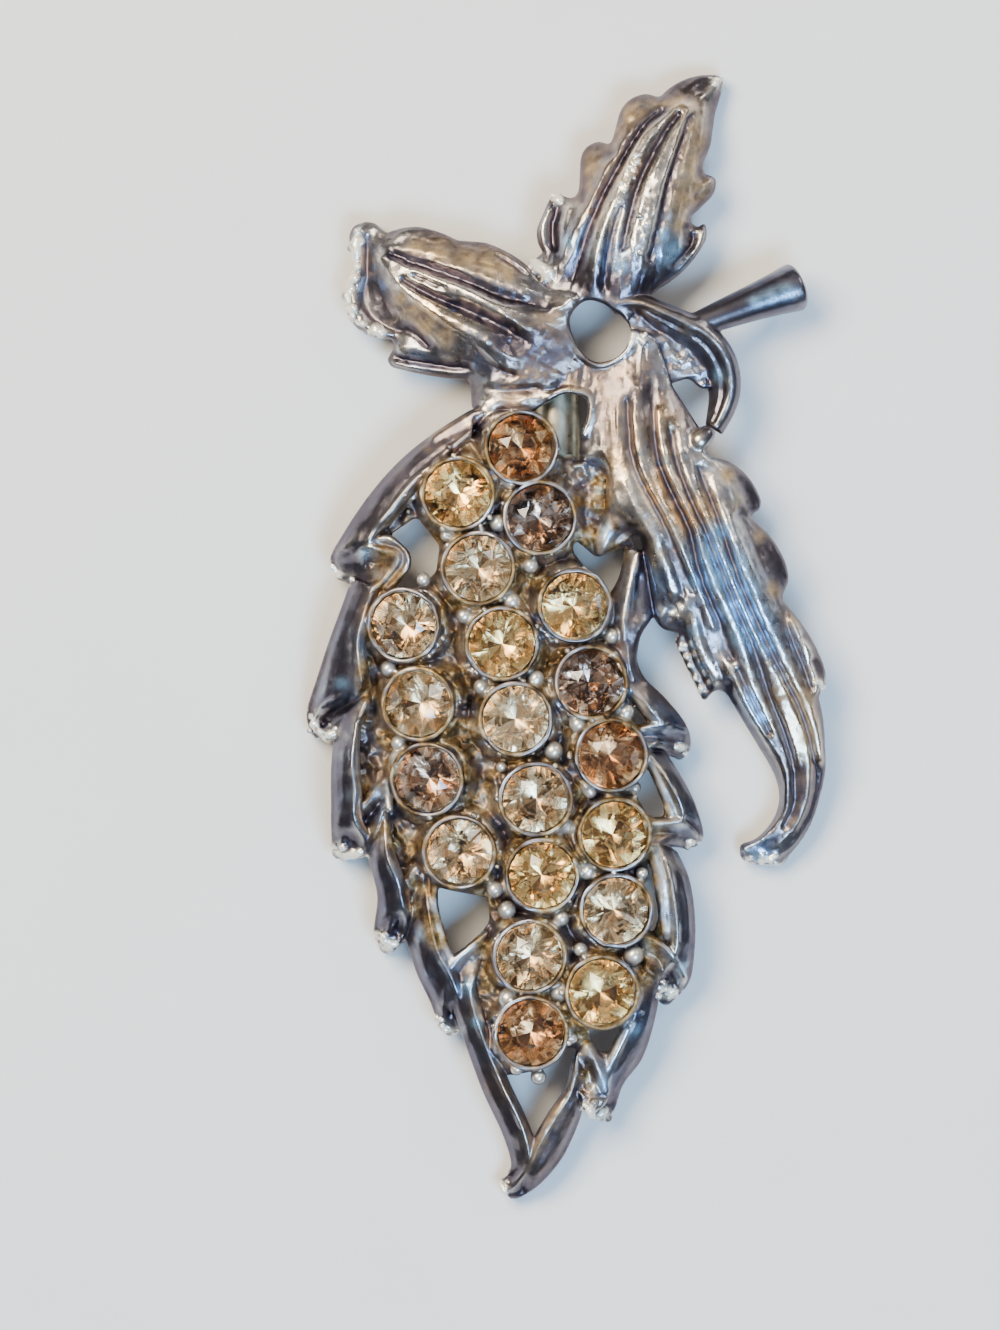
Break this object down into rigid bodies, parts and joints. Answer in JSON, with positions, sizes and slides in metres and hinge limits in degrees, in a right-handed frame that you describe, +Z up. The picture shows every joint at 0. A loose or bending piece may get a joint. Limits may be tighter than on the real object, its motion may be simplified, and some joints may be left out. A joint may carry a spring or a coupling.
{
  "type": "rhinestone brooch",
  "caption": "Cast metal brooch shaped as a drooping leaf spray, with a cluster of round faceted paste stones in cups, pierced serrated edges, a curled stem and a pin back.",
  "frame": {"origin": "on the surface that the brooch lies on, below the middle of its bounding box", "axes": "+X to the right of the picture, +Y to its top along the length of the spray, +Z up out of the brooch's face"},
  "size_m": [0.0292, 0.0632, 0.0058],
  "materials": {
    "cast_metal": "tarnished silver tone casting, worn bright on the ribs and brown in the recesses",
    "pin_metal": "dull nickel plate gone olive brown",
    "paste_stone": "polished champagne glass over a golden foil"
  },
  "bodies": {
    "root": {"casting": "cast_metal", "pin_back": "pin_metal", "stone_01": "paste_stone", "stone_02": "paste_stone", "stone_03": "paste_stone", "stone_04": "paste_stone", "stone_05": "paste_stone", "stone_06": "paste_stone", "stone_07": "paste_stone", "stone_08": "paste_stone", "stone_09": "paste_stone", "stone_10": "paste_stone", "stone_11": "paste_stone", "stone_12": "paste_stone", "stone_13": "paste_stone", "stone_14": "paste_stone", "stone_15": "paste_stone", "stone_16": "paste_stone", "stone_17": "paste_stone", "stone_18": "paste_stone", "stone_19": "paste_stone", "stone_20": "paste_stone"}
  },
  "joints": []
}
